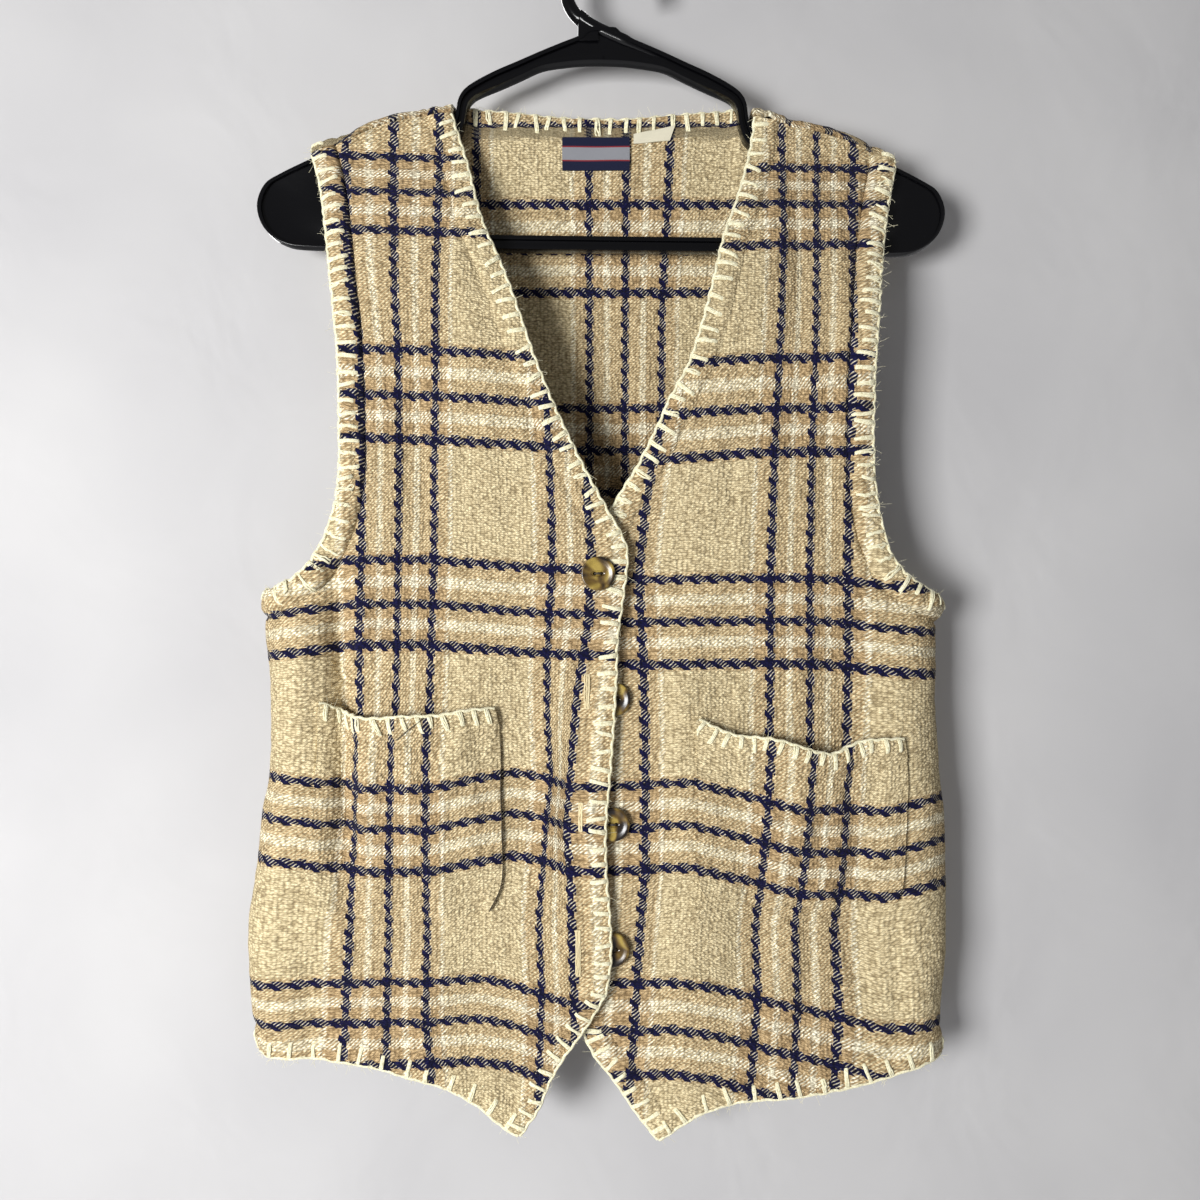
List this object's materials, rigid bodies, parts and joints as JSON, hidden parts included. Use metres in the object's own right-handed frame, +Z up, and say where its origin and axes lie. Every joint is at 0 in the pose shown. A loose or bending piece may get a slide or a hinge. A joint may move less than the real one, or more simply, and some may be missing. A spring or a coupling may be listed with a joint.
{
  "type": "button vest on a hanger",
  "caption": "Checked cotton V-neck vest with stitched edges, patch pockets and a button front, hung on a moulded hanger.",
  "frame": {"origin": "crown of the inside of the hanger's hook, where a rail carries it", "axes": "+Z up; the vest's front faces -Y; the wearer's left is at +X"},
  "size_m": [0.4371, 0.0596, 0.7392],
  "materials": {
    "homespun_cotton": "checked homespun",
    "tortoise_resin": "marbled gloss",
    "woven_label": "woven",
    "care_tape": "satin tape",
    "black_styrene": "moulded gloss"
  },
  "bodies": {
    "root": {"back": "homespun_cotton", "front_right": "homespun_cotton", "front_left": "homespun_cotton", "pocket_right": "homespun_cotton", "pocket_left": "homespun_cotton", "button_1": "tortoise_resin", "button_2": "tortoise_resin", "button_3": "tortoise_resin", "button_4": "tortoise_resin", "neck_label": "woven_label", "care_label": "care_tape", "hanger": "black_styrene", "hanger_hook": "black_styrene"}
  },
  "joints": []
}
